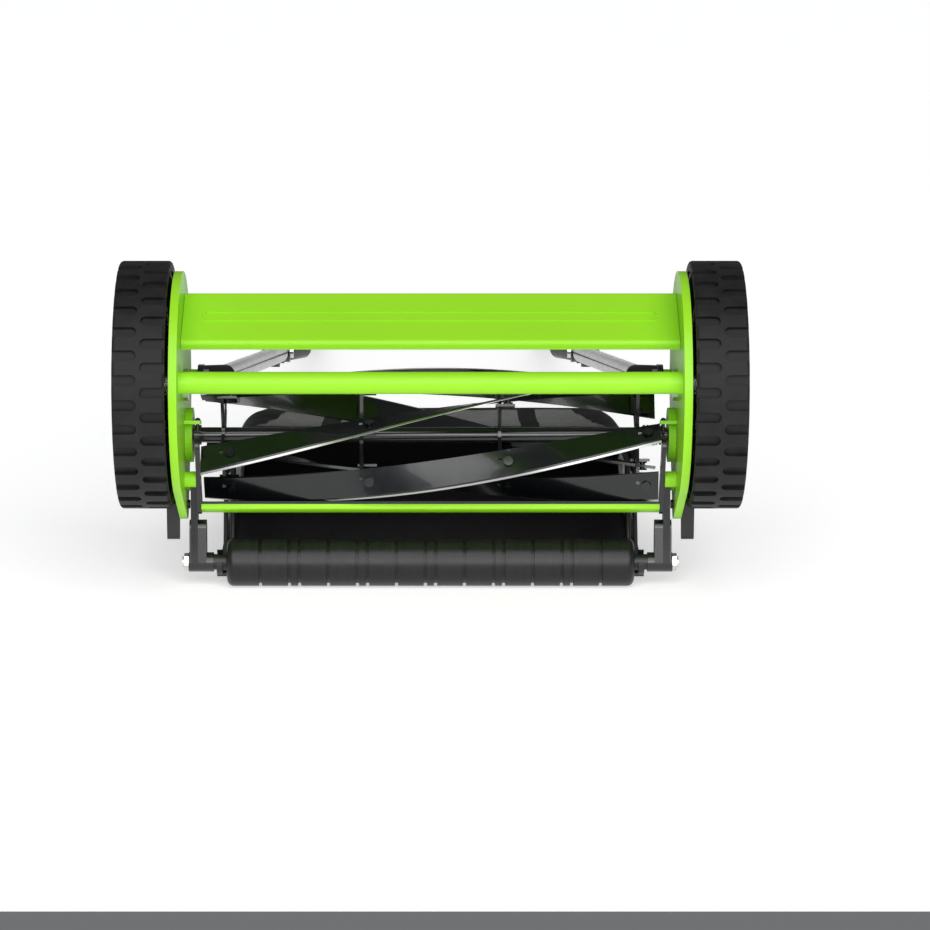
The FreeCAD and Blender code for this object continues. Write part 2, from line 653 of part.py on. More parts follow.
reel_axis = Part.makeCylinder(value("shaft_radius"), value("reel_width"),
                              V(0, 0, -value("reel_width") / 2))
spider_places = [side * value(name)
                 for name in ("spider_outer_x", "spider_inner_x") for side in (-1, 1)]
blade_indices = range(int(value("blade_count")))
shanks = []
rivets = []
for along in spider_places:
    for index in blade_indices:
        shank, rivet = make_rivet(index, along)
        shanks.append(shank)
        rivets.append(rivet)
blades = [make_blade(index) for index in blade_indices]
spiders = [make_spider(along).cut([reel_axis] + blades + shanks) for along in spider_places]
drilled = [blade.cut(shanks) for blade in blades]
feature("reel_blades", Part.makeCompound(drilled), side_view(REEL))
feature("reel_spiders", Part.makeCompound(spiders), side_view(REEL))
feature("reel_rivets", Part.makeCompound(rivets), side_view(REEL))


def make_spring(radius, wire, turns, start, end):
    """Open coil spring about the Z axis."""
    length = end - start - 2 * wire
    helix = Part.makeHelix(length / turns, length, radius)
    section = Part.Wire(Part.makeCircle(wire, V(radius, 0, 0), V(0, 1, 0)))
    coil = Part.Wire(helix.Edges).makePipeShell([section], True, True)
    coil.translate(V(0, 0, start + wire))
    return coil


spring = make_spring(value("spring_radius"), value("spring_wire"), value("spring_turns"),
                     value("spider_outer_x") + 4, value("web_x") - value("boss_depth") - 2)
feature("reel_spring", spring, side_view(REEL))


# ---- bed knife: steel blade riveted on a green carrier between two end arms

KNIFE_ALONG = polar(value("knife_lift"))
KNIFE_BELOW = polar(value("knife_lift") - 90)
CARRIER_HALF = value("knife_arm_x")


def bar_from_section(points, half):
    """Bar along X with a (Y, Z) section."""
    corners = [V(-half, y, z) for y, z in points]
    return Part.Face(Part.makePolygon(corners + corners[:1])).extrude(V(2 * half, 0, 0))


def make_knife():
    wall = value("knife_wall")
    back = shifted(KNIFE_EDGE, (KNIFE_ALONG, value("knife_depth")))
    section = [KNIFE_EDGE, back, shifted(back, (KNIFE_BELOW, wall)),
               shifted(KNIFE_EDGE, (KNIFE_ALONG, value("knife_bevel")), (KNIFE_BELOW, wall))]
    return bar_from_section(section, CARRIER_HALF)


def make_carrier():
    """Nose bar under the knife, with a guide plate that rises behind the reel."""
    wall = value("carrier_wall")
    top = shifted(KNIFE_EDGE, (KNIFE_ALONG, value("carrier_setback")),
                  (KNIFE_BELOW, value("knife_wall")))
    depth = value("carrier_depth") + value("carrier_tail")
    tail = value("tail_wall")
    nose = value("carrier_depth")
    section = [top, shifted(top, (KNIFE_ALONG, depth)),
               shifted(top, (KNIFE_ALONG, depth), (KNIFE_BELOW, tail)),
               shifted(top, (KNIFE_ALONG, nose + 3), (KNIFE_BELOW, tail)),
               shifted(top, (KNIFE_ALONG, nose), (KNIFE_BELOW, wall)),
               shifted(top, (KNIFE_BELOW, wall))]
    bar = bar_from_section(section, CARRIER_HALF)
    nose_point = shifted(top, (KNIFE_BELOW, wall))
    rounded = [e for e in bar.Edges
               if abs(e.CenterOfMass.y - nose_point[0]) < 0.01
               and abs(e.CenterOfMass.z - nose_point[1]) < 0.01]
    return bar.makeFillet(value("carrier_wall") * 0.6, rounded)


def along_row(count, half):
    """Evenly spaced stations across the width."""
    return [-half + 2 * half * k / (count - 1) for k in range(count)]


def knife_rivet(station):
    spot = shifted(KNIFE_EDGE, (KNIFE_ALONG, value("carrier_setback") + value("carrier_depth") / 2))
    down = V(0, *KNIFE_BELOW)
    top = V(station, *spot)
    grip = value("knife_wall") + value("carrier_wall")
    return rod(top + down * 0.3, top + down * grip, 2.2)


knife_rivets = [knife_rivet(station) for station in along_row(7, CARRIER_HALF - 24)]
feature("bed_knife", make_knife().cut(knife_rivets))
feature("knife_carrier", make_carrier().cut(knife_rivets))
feature("knife_rivets", Part.makeCompound(knife_rivets))


def knife_arm_outline(sketch):
    draw_link(sketch, ("sizes.knife_edge_y + sizes.arm_rear_y", "sizes.knife_edge_z + sizes.arm_rear_z"),
              "sizes.arm_rear_radius",
              ("sizes.arm_front_y", "-sizes.arm_front_drop"), "sizes.arm_front_radius")


arm = new_body("knife_arm_right", side_view())
add_pad(arm, "arm", "sizes.knife_arm_x", "sizes.knife_arm_wall", knife_arm_outline)
add_pocket(arm, "arm_pivot", "sizes.knife_arm_x - 1", "sizes.knife_arm_wall + 2", circle_at(
    "sizes.bolt_radius + sizes.running_fit", "sizes.knife_pivot_y", "-sizes.knife_pivot_drop"))
pair(arm)

# ---- height brackets, which carry the roller, and the levers that lock them

ROLLER_AT = ("sizes.roller_y", "-sizes.roller_drop")
BRACKET_AT = ("sizes.bracket_pivot_y", "-sizes.bracket_pivot_drop")


def bracket_outline(sketch):
    draw_link(sketch, BRACKET_AT, "sizes.bracket_end", ROLLER_AT, "sizes.foot_radius")


def bracket_leg_outline(sketch):
    draw_link(sketch, ("sizes.leg_top_y", "-sizes.leg_top_drop"), "sizes.leg_top_radius",
              ROLLER_AT, "sizes.foot_radius")


bracket = new_body("bracket_right", side_view())
add_pad(bracket, "plate", "sizes.bracket_x", "sizes.bracket_wall", bracket_outline)
add_pad(bracket, "leg", "sizes.leg_x", "sizes.leg_wall", bracket_leg_outline)
add_pad(bracket, "foot", "sizes.foot_inner_x", "sizes.foot_outer_x - sizes.foot_inner_x",
        circle_at("sizes.foot_radius", *ROLLER_AT))
add_pocket(bracket, "shaft_bore", "sizes.foot_inner_x - 1",
           "sizes.foot_outer_x - sizes.foot_inner_x + 2", circle_at("sizes.roller_shaft", *ROLLER_AT))
add_pocket(bracket, "pivot_bore", "sizes.bracket_x - 1", "sizes.bracket_wall + 2",
           circle_at("sizes.bolt_radius + sizes.running_fit", *BRACKET_AT))
pair(bracket)
ROLLER_SHAFT_END = "sizes.foot_outer_x + sizes.nut_depth + 1.5"
turned_part("roller_shaft", ROLLER, ring(
    "0", "sizes.roller_shaft", "-(" + ROLLER_SHAFT_END + ")", ROLLER_SHAFT_END))
roller_collar = turned_part("roller_collar_right", ROLLER, ring(
    "sizes.roller_shaft", "sizes.roller_collar_radius", "sizes.roller_half + 0.5",
    "sizes.foot_inner_x"))
both(roller_collar, "roller_collars")


def shaft_nut(outline_radius, bore, start, depth):
    """Hexagon nut with its axis along X."""
    corners = [V(*polar(60 * k, outline_radius), start) for k in range(7)]
    nut = Part.Face(Part.makePolygon(corners)).extrude(V(0, 0, depth))
    return nut.cut(Part.makeCylinder(bore, depth, V(0, 0, start)))


roller_nut = shaft_nut(value("roller_shaft") + 3, value("roller_shaft"), value("foot_outer_x"),
                       value("nut_depth"))
both(feature("roller_nut_right", roller_nut, side_view(ROLLER)), "roller_nuts")


def make_roller():
    """Moulded roller, grooved once and twice in turn along its length."""
    half = value("roller_half")
    radius = value("roller_radius")
    roller = Part.makeCylinder(radius, 2 * half, V(0, 0, -half))
    ends = [e for e in roller.Edges if isinstance(e.Curve, Part.Circle)]
    roller = roller.makeFillet(value("roller_rounding"), ends)
    roller = roller.cut(Part.makeCylinder(
        value("roller_shaft") + value("running_fit"), 2 * half, V(0, 0, -half)))
    groove = value("groove_width")
    bottom = radius - value("groove_depth")
    cutter = Part.makeCylinder(radius + 2, groove, V(0, 0, -groove / 2))
    cutter = cutter.cut(Part.makeCylinder(bottom, groove, V(0, 0, -groove / 2)))
    cutters = []
    for step in range(-5, 6):
        centre = step * value("groove_pitch")
        offsets = (0,) if step % 2 else (-1.5 * groove, 1.5 * groove)
        for offset in offsets:
            tool = cutter.copy()
            tool.translate(V(0, 0, centre + offset))
            cutters.append(tool)
    return roller.cut(cutters)


feature("roller", make_roller(), side_view(ROLLER))


def lever_outline(sketch):
    draw_link(sketch, ("sizes.lobe_y", "-sizes.lobe_drop"), "sizes.lever_end",
              ("sizes.lever_tip_y", "-sizes.lever_tip_drop"), "sizes.lever_tip")


lever = new_body("height_lever_right", side_view())
add_pad(lever, "pin", "sizes.web_x - 2", "sizes.lever_x - sizes.web_x + 3", circle_at(
    "sizes.bolt_radius", "sizes.lobe_y", "-sizes.lobe_drop"))
add_pad(lever, "paddle", "sizes.lever_x", "sizes.lever_wall", lever_outline)
pair(lever)
# A bent spring washer on each lever's pin presses the paddle outward, off the lobe.
WASHER_BORE = "sizes.bolt_radius + sizes.gap"
WASHER_MIDDLE = "(sizes.web_outer + sizes.lever_x - sizes.gap) / 2"
WASHER_END = "sizes.lever_x - sizes.gap"
lever_spring = turned_part("lever_spring_right", LOBE, [
    (WASHER_BORE, "sizes.web_outer"),
    ("sizes.lever_spring_radius", WASHER_MIDDLE + " - sizes.lever_spring_wall / 2"),
    ("sizes.lever_spring_radius", WASHER_MIDDLE + " + sizes.lever_spring_wall / 2"),
    (WASHER_BORE, WASHER_END), (WASHER_BORE, WASHER_END + " - sizes.lever_spring_wall"),
    ("sizes.lever_spring_radius - 1", WASHER_MIDDLE),
    (WASHER_BORE, "sizes.web_outer + sizes.lever_spring_wall")])
both(lever_spring, "lever_springs")

# ---- cross members: the tie tube and the front cover

tube_outer = doc.addObject("Part::Cylinder", "tie_outer")
tube_outer.setExpression("Radius", "sizes.tie_radius")
tube_outer.setExpression("Height", "2 * sizes.tie_half")
tube_inner = doc.addObject("Part::Cylinder", "tie_inner")
tube_inner.setExpression("Radius", "sizes.tie_radius - sizes.tie_wall")
tube_inner.setExpression("Height", "2 * sizes.tie_half")
tie_tube = doc.addObject("Part::Cut", "tie_tube")
tie_tube.Base = tube_outer
tie_tube.Tool = tube_inner
keep(tie_tube, side_view(TIE).multiply(FreeCAD.Placement(V(0, 0, -value("tie_half")),
                                                         FreeCAD.Rotation())))


def edges_along(shape, axis, test):
    """Straight edges of a shape that run along an axis and pass a test on their middle."""
    chosen = []
    for edge in shape.Edges:
        if len(edge.Vertexes) == 2 and isinstance(edge.Curve, Part.Line):
            if abs(abs(edge.Curve.Direction.dot(axis)) - 1) < 1e-6 and test(edge.CenterOfMass):
                chosen.append(edge)
    return chosen


def make_cover():
    """Shallow pressed tray: a face with a raised band, returned at top, foot and ends."""
    low = V(0, -value("cover_low_y"), -value("cover_low_drop"))
    high = V(0, -value("cover_high_y"), value("cover_high_z"))
    height = low.distanceToPoint(high)
    half = value("web_x") - value("gap")
    wall = value("cover_wall")
    depth = value("cover_depth")
    bend = value("cover_bend")
    outer = Part.makeBox(2 * half, depth, height, V(-half, 0, 0))
    outer = outer.makeFillet(bend, edges_along(outer, V(1, 0, 0), lambda p: p.y < 0.1))
    inner = Part.makeBox(2 * (half - wall), depth, height - 2 * wall, V(-half + wall, wall, wall))
    inner = inner.makeFillet(
        bend - wall, edges_along(inner, V(1, 0, 0), lambda p: p.y < wall + 0.1))
    band_half = half - 17
    band_high = 15.0
    band_low = height * 0.42
    bead = Part.makeBox(2 * band_half, 1.2, band_high, V(-band_half, -1.0, band_low))
    bead = bead.makeFillet(band_high * 0.45, edges_along(bead, V(0, 1, 0), lambda p: True))
    field = Part.makeBox(2 * band_half - 5, 1.0, band_high - 5,
                         V(-band_half + 2.5, -1.0, band_low + 2.5))
    field = field.makeFillet(
        (band_high - 5) * 0.45, edges_along(field, V(0, 1, 0), lambda p: True))
    cover = outer.cut(inner).fuse(bead.cut(field)).removeSplitter()
    lean = FreeCAD.Rotation(V(0, 0, 1), high - low)
    return cover, REST.multiply(FreeCAD.Placement(low, lean))


feature("front_cover", *make_cover())


# ---- fasteners of the frame: hexagon bolts, spacer tubes, adjusting screws and their lugs

def pivot_bolt(point, inner_x):
    start = V(value("web_outer"), *point)
    return hexagon_bolt(start, V(1, 0, 0), value("bolt_radius"), value("web_outer") - inner_x)


def spacer_tube(point, start, end):
    body = rod(V(start, *point), V(end, *point), 7)
    return body.cut(rod(V(start, *point), V(end, *point), value("bolt_radius")))


bolts = [pivot_bolt(KNIFE_PIVOT, value("knife_arm_x") + 0.2),
         pivot_bolt(BRACKET_PIVOT, value("bracket_x")),
         pivot_bolt(HANDLE, value("eye_x") - 5)]
both(feature("frame_bolts_right", Part.makeCompound(bolts)), "frame_bolts")
tubes = [spacer_tube(KNIFE_PIVOT, value("knife_arm_x") + value("knife_arm_wall") + value("gap"),
                     value("web_x")),
         spacer_tube(BRACKET_PIVOT, value("bracket_x") + value("bracket_wall") + value("gap"),
                     value("web_x")),
         spacer_tube(HANDLE, value("eye_x") + value("eye_wall"), value("web_x"))]
both(feature("bolt_spacers_right", Part.makeCompound(tubes)), "bolt_spacers")
handle_nut = shaft_nut(value("bolt_radius") + 3, value("bolt_radius"),
                       value("eye_x") - value("bolt_head_high"), value("bolt_head_high"))
both(feature("handle_nut_right", handle_nut, side_view(HANDLE)), "handle_nuts")


def make_adjuster():
    """Lug welded on the web, and the domed screw that sets the bed knife."""
    deep = polar(40)
    up = V(0, *polar(130))
    centre = (value("adjuster_y"), -value("adjuster_drop"))
    lug_in, lug_out = value("reel_width") / 2 + value("adjuster_gap"), value("web_x")
    front = shifted(centre, (deep, -7))
    back = shifted(centre, (deep, 7))
    corners = [V(lug_in, *front), V(lug_out, *front), V(lug_out, *back), V(lug_in, *back)]
    lug = Part.Face(Part.makePolygon(corners + corners[:1])).extrude(up * 3)
    spot = V(lug_in + 2.8, *centre)
    shank = rod(spot - up * 7.2, spot + up * 3, 1.5)
    dome = Part.makeSphere(2.7, spot + up * 3, up, 0, 90, 360)
    return lug.cut(shank), shank.fuse(dome)


lug, screw = make_adjuster()
both(feature("adjuster_lug_right", lug), "adjuster_lugs")
both(feature("adjuster_screw_right", screw), "adjuster_screws")


# ---- handle: two lower tubes on the side plates, and a folding bow with a foam grip

ALONG_HANDLE = REST.multiply(FreeCAD.Placement(
    V(0, *HANDLE), FreeCAD.Rotation(V(1, 0, 0), value("handle_angle"))))


def flat_eye(centre_x, at, toward, wall, bore):
    """Flattened, rounded tube end: a plate across X with a bolt hole."""
    half = value("tube_radius") + value("eye_margin")
    eye = Part.makeCylinder(half, wall, V(centre_x - wall / 2, at, 0), V(1, 0, 0))
    span = abs(toward - at)
    strip = Part.makeBox(wall, span, 2 * half, V(centre_x - wall / 2, min(at, toward), -half))
    hole = Part.makeCylinder(bore, wall + 2, V(centre_x - wall / 2 - 1, at, 0), V(1, 0, 0))
    return eye.fuse(strip), hole


def round_wire(centre, radius):
    """Tube section across the handle, started from its highest point."""
    section = Part.Ellipse(centre + V(0, 0, radius * 1.001), centre + V(radius, 0, 0), centre)
    return Part.Wire(section.toShape())


def crimp(flat_x, flat_at, round_x, round_at, wall):
    """Transition from inside a flattened end to the round tube."""
    inside = flat_at + math.copysign(4, flat_at - round_at)
    middle = V(flat_x, inside, 0)
    half = value("tube_radius") + value("eye_margin") / 2
    flat = Part.Ellipse(middle + V(0, 0, half), middle + V(wall * 0.28, 0, 0), middle)
    end = round_wire(V(round_x, round_at, 0), value("tube_radius"))
    return Part.makeLoft([Part.Wire(flat.toShape()), end], True, True)


def make_lower_tube():
    """Tube with a crimped eye at each end: on the side plate and at the fold."""
    fold = value("fold_at")
    reach = value("crimp")
    low_x = value("handle_low_x")
    lean = (value("handle_low_x") - value("handle_high_x")) / fold

    def centre_x(at):
        return low_x - lean * at

    wall = value("eye_wall")
    foot_x = value("eye_x") + wall / 2
    fold_x = value("handle_high_x") + value("gap") / 2 + wall / 2
    strip = value("eye_strip")
    fold_strip = value("fold_strip")
    start = strip + reach
    end = fold - fold_strip - reach
    foot, foot_hole = flat_eye(foot_x, 0, strip, wall, value("bolt_radius"))
    top, top_hole = flat_eye(fold_x, fold, fold - fold_strip, wall, value("fold_bolt"))
    bottom_point = V(centre_x(start), start, 0)
    top_point = V(centre_x(end), end, 0)
    run = top_point - bottom_point
    tube = Part.Face(round_wire(bottom_point, value("tube_radius"))).extrude(run)
    bore_wire = round_wire(bottom_point, value("tube_radius") - value("tube_wall"))
    bore = Part.Face(bore_wire).extrude(run)
    pieces = [crimp(foot_x, strip, bottom_point.x, start, wall), tube.cut(bore), top,
              crimp(fold_x, fold - fold_strip, top_point.x, end, wall)]
    return foot.fuse(pieces).cut([foot_hole, top_hole])


pair(feature("handle_tube_right", make_lower_tube(), ALONG_HANDLE))


def make_bow():
    """U-shaped tube, hinged on the fold bolts at its two flattened ends."""
    fold = value("fold_at")
    end = value("handle_length")
    half = value("bow_x")
    bend = value("bow_radius")
    wall = value("eye_wall")
    strip = value("eye_strip")
    start = fold + strip + value("crimp")
    corner = bend * (1 - math.cos(math.radians(45)))
    path = Part.Wire([
        Part.makeLine(V(half, start, 0), V(half, end - bend, 0)),
        Part.Arc(V(half, end - bend, 0), V(half - corner, end - corner, 0),
                 V(half - bend, end, 0)).toShape(),
        Part.makeLine(V(half - bend, end, 0), V(bend - half, end, 0)),
        Part.Arc(V(bend - half, end, 0), V(corner - half, end - corner, 0),
                 V(-half, end - bend, 0)).toShape(),
        Part.makeLine(V(-half, end - bend, 0), V(-half, start, 0))])

    def swept(radius):
        return path.makePipeShell([round_wire(V(half, start, 0), radius)], True, False)

    bow = swept(value("tube_radius")).cut(swept(value("tube_radius") - value("tube_wall")))
    holes = []
    for side in (-1, 1):
        eye_x = side * (value("handle_high_x") - value("gap") / 2 - wall / 2)
        eye, hole = flat_eye(eye_x, fold, fold + strip, wall,
                             value("fold_bolt") + value("running_fit"))
        bow = bow.fuse([eye, crimp(eye_x, fold + strip, side * half, start, wall)])
        holes.append(hole)
    return bow.cut(holes)


feature("handle_bow", make_bow(), ALONG_HANDLE)
grip_half = value("grip_length") / 2
grip_core = Part.makeCylinder(value("tube_radius") + value("grip_fit"), 2 * grip_half,
                              V(0, 0, -grip_half))
grip_sleeve = Part.makeCylinder(value("grip_radius"), 2 * grip_half, V(0, 0, -grip_half))
grip_sleeve = grip_sleeve.makeFillet(
    value("grip_rounding"), [e for e in grip_sleeve.Edges if isinstance(e.Curve, Part.Circle)])
feature("handle_grip", grip_sleeve.cut(grip_core), side_view(GRIP))

FOLD = shifted(HANDLE, (polar(value("handle_angle")), value("fold_at")))
fold_inner = value("handle_high_x") - value("gap") / 2 - value("eye_wall") - value("gap")
fold_outer = value("handle_high_x") + value("gap") / 2 + value("eye_wall")
fold_bolt = Part.makeCylinder(value("fold_bolt"), fold_outer + value("fold_thread") - fold_inner,
                              V(0, 0, fold_inner))
fold_head = Part.makeCylinder(6.5, 3.5, V(0, 0, fold_inner - 3.5))
both(feature("fold_bolt_right", fold_bolt.fuse(fold_head), side_view(FOLD)), "fold_bolts")


def make_knob():
    """Six-lobed clamping knob with a blind bore for its bolt."""
    depth = value("knob_depth")
    radius = value("knob_radius")
    knob = Part.makeCylinder(radius, depth)
    scallops = [Part.makeCylinder(radius * 0.42, depth + 2, V(*polar(60 * k, radius * 1.22), 2))
                for k in range(6)]
    knob = knob.cut(scallops)
    bore = Part.makeCylinder(value("fold_bolt") + value("running_fit"), depth - 2)
    knob = knob.cut(bore)
    knob.translate(V(0, 0, fold_outer + value("gap")))
    return knob


pair(feature("fold_knob_right", make_knob(), side_view(FOLD)))


# ---- grass catcher: floor plate, wire mouth, fabric bag and the hooks on the roller collars


def bag_solid(half, inset, overrun):
    """Solid of the bag's outer shape, or of its hollow when inset and run past its openings."""
    low = value("catcher_wall") - overrun
    mouth_low = value("catcher_mouth") - overrun
    lean = (value("catcher_high") - value("catcher_wall")) * value("mouth_lean")
    mouth_high = value("catcher_mouth") + lean - overrun
    back = value("catcher_back")
    top, rear_top = value("catcher_high") - inset, value("catcher_rear_high") - inset
    profile = [(mouth_low, low), (mouth_high, top), (back - 8 - inset, rear_top),
               (back - inset, low)]
    solid = bar_from_section(profile, half)
    long_edges = [e for e in solid.Edges
                  if abs(abs(e.CenterOfMass.x) - half) < 0.01
                  and (e.CenterOfMass.y > back - 12 - inset or e.CenterOfMass.z > rear_top - 0.1)
                  and e.CenterOfMass.z > low + 1]
    return solid.makeFillet(value("catcher_rounding") - inset, long_edges)


def make_bag():
    outer = bag_solid(value("catcher_half"), 0, 0)
    inner = bag_solid(value("catcher_half") - value("catcher_wall"), value("catcher_wall"), 3.5)
    return outer.cut(inner)


feature("catcher_bag", make_bag(), CATCHER)
floor_half = value("catcher_half") + value("plate_edge")
floor_plate = Part.makeBox(
    2 * floor_half, value("catcher_back") + value("plate_edge") - value("catcher_front"),
    value("catcher_wall"), V(-floor_half, value("catcher_front"), 0))
floor_plate = floor_plate.makeFillet(value("catcher_rounding") + 2, edges_along(
    floor_plate, V(0, 0, 1), lambda p: p.y > value("catcher_front") + 1))
feature("catcher_floor", floor_plate, CATCHER)


def make_mouth_wire():
    """Wire hoop that holds the mouth of the bag open."""
    radius = value("wire_radius")
    rise = value("catcher_high") - value("catcher_wall") - 4
    start = V(value("catcher_half") - value("wire_inset"),
              value("catcher_mouth") - radius - 1.5, value("catcher_wall"))
    slope = V(0, value("mouth_lean"), 1).normalize()
    bend = value("catcher_rounding")
    corner = bend * (1 - math.cos(math.radians(45)))
    top = start + slope * rise
    across = V(1, 0, 0)
    half = start.x
    mirror_x = V(-2 * half, 0, 0)
    path = Part.Wire([
        Part.makeLine(start, top - slope * bend),
        Part.Arc(top - slope * bend, top - slope * corner - across * corner,
                 top - across * bend).toShape(),
        Part.makeLine(top - across * bend, top + mirror_x + across * bend),
        Part.Arc(top + mirror_x + across * bend, top + mirror_x - slope * corner + across * corner,
                 top + mirror_x - slope * bend).toShape(),
        Part.makeLine(top + mirror_x - slope * bend, start + mirror_x)])
    section = Part.Wire(Part.makeCircle(radius, start, slope))
    wire = path.makePipeShell([section], True, False)
    below = Part.makeBox(2 * half + 20, 20, 10, V(-half - 10, start.y - 10, start.z - 10))
    return wire.cut(below)


feature("catcher_wire", make_mouth_wire(), CATCHER)


def make_hook():
    """Open hook that hangs over a roller collar, with an arm down to the floor plate."""
    grip = value("roller_collar_radius") + value("hook_fit")
    wall = value("hook_wall")
    width = value("hook_width")
    start_x = value("roller_half") + 4
    centre = V(start_x, 0, value("roller_radius"))
    foot = V(start_x, value("catcher_front") + 13, value("catcher_wall"))
    hook = Part.makeCylinder(grip + wall, width, centre, V(1, 0, 0))
    under = centre + V(0, 3, 0.4 - grip - wall)
    outline = [centre + V(0, grip + wall - 0.1, 1), foot + V(0, 0, 4.5), foot,
               foot + V(0, -9, 0), under]
    arm = Part.Face(Part.makePolygon(outline + outline[:1])).extrude(V(width, 0, 0))
    slot = Part.makeBox(width + 2, 2 * grip * 0.9, grip + 6, centre + V(-1, -grip * 0.9, 0))
    slot.rotate(centre, V(1, 0, 0), 40)
    bore = Part.makeCylinder(grip, width + 2, centre + V(-1, 0, 0), V(1, 0, 0))
    return hook.fuse(arm).cut([bore, slot])


both(feature("catcher_hook_right", make_hook(), CATCHER), "catcher_hooks")


# ---- checks on every object, then one file for each sub-part

doc.recompute()
for obj in doc.Objects:
    if "Invalid" in obj.State or "Error" in obj.State:
        raise RuntimeError(obj.Label + " failed to recompute: " + ", ".join(obj.State))
for part in SUB_PARTS:
    if part.Shape.isNull() or not part.Shape.isValid() or not part.Shape.Solids:
        raise RuntimeError(part.Label + " has no valid solid")
os.makedirs("parts", exist_ok=True)
for part in SUB_PARTS:
    part.Shape.exportStep(os.path.join("parts", part.Label + ".step"))
print(len(SUB_PARTS), "sub-parts")
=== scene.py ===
import math
import json

import bpy
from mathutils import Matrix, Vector, noise


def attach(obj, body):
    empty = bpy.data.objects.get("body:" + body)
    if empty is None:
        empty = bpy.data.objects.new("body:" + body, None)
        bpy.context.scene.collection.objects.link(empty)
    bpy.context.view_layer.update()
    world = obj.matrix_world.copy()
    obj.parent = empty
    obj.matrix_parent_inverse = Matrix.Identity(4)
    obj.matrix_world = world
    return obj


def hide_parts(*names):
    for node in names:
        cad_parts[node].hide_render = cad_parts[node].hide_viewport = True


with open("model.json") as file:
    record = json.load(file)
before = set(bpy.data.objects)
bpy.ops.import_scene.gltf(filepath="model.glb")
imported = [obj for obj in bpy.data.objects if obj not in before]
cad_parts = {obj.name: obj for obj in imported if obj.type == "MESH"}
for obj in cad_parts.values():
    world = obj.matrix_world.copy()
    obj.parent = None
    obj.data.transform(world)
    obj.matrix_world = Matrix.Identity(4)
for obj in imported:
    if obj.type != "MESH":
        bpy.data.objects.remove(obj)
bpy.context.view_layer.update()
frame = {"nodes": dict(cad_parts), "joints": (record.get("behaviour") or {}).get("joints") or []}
nodes = frame["nodes"]
joint_at = {joint["name"]: Vector(joint["pos_m"]) for joint in frame["joints"] if "pos_m" in joint}
axle = joint_at["wheel_right_spin"]
reel_axis = joint_at["reel_spin"]
bpy.ops.object.select_all(action="DESELECT")

# ---------------------------------------------------------------------------------------
# View, floor and light.  A long lens looks down a little on the front of the mower, which
# stands left of the middle of the frame on a white sweep.  One broad light hangs overhead,
# and three weak ones fill the front and the sides.

LOOK_DOWN = math.radians(13.5)
CAMERA_AWAY = 3.2
AIM_BELOW_AXLE = 0.070
LENS = 142
SENSOR_WIDTH = 36
MOWER_LEFT_OF_MIDDLE = 0.0371
SWEEP_SIZE = 14
SWEEP_MIDDLE = (0, 5.7, 0)
toward_camera = Vector((0, -math.cos(LOOK_DOWN), math.sin(LOOK_DOWN)))
image_up = Vector((0, math.sin(LOOK_DOWN), math.cos(LOOK_DOWN)))
bpy.ops.object.camera_add(
    location=axle + toward_camera * CAMERA_AWAY - image_up * AIM_BELOW_AXLE,
    rotation=(math.pi / 2 - LOOK_DOWN, 0, 0))
camera = bpy.context.object
camera.name = "front_camera"
camera.data.lens = LENS
camera.data.sensor_width = SENSOR_WIDTH
camera.data.shift_x = MOWER_LEFT_OF_MIDDLE
camera.data.clip_end = 50
bpy.context.scene.camera = camera
bpy.context.scene.view_settings.view_transform = "Standard"

bpy.ops.mesh.primitive_plane_add(size=SWEEP_SIZE, location=SWEEP_MIDDLE)
floor = bpy.context.object
floor.name = "studio_floor"


class Signal:
    """A socket of a node tree; arithmetic on it adds the Math nodes."""

    def __init__(self, tree, socket):
        self.tree = tree
        self.socket = socket

    def joined(self, operation, first, second):
        node = self.tree.nodes.new("ShaderNodeMath")
        node.operation = operation
        for slot, item in zip(node.inputs, (first, second)):
            if isinstance(item, Signal):
                self.tree.links.new(item.socket, slot)
            else:
                slot.default_value = item
        return Signal(self.tree, node.outputs[0])

    def __add__(self, other):
        return self.joined("ADD", self, other)

    def __radd__(self, other):
        return self.joined("ADD", other, self)

    def __sub__(self, other):
        return self.joined("SUBTRACT", self, other)

    def __rsub__(self, other):
        return self.joined("SUBTRACT", other, self)

    def __mul__(self, other):
        return self.joined("MULTIPLY", self, other)

    def __rmul__(self, other):
        return self.joined("MULTIPLY", other, self)

    def __pow__(self, other):
        return self.joined("POWER", self, other)

    def __abs__(self):
        return self.joined("ABSOLUTE", self, 0.0)

    def sine(self):
        return self.joined("SINE", self, 0.0)

    def __gt__(self, other):
        return self.joined("GREATER_THAN", self, other)


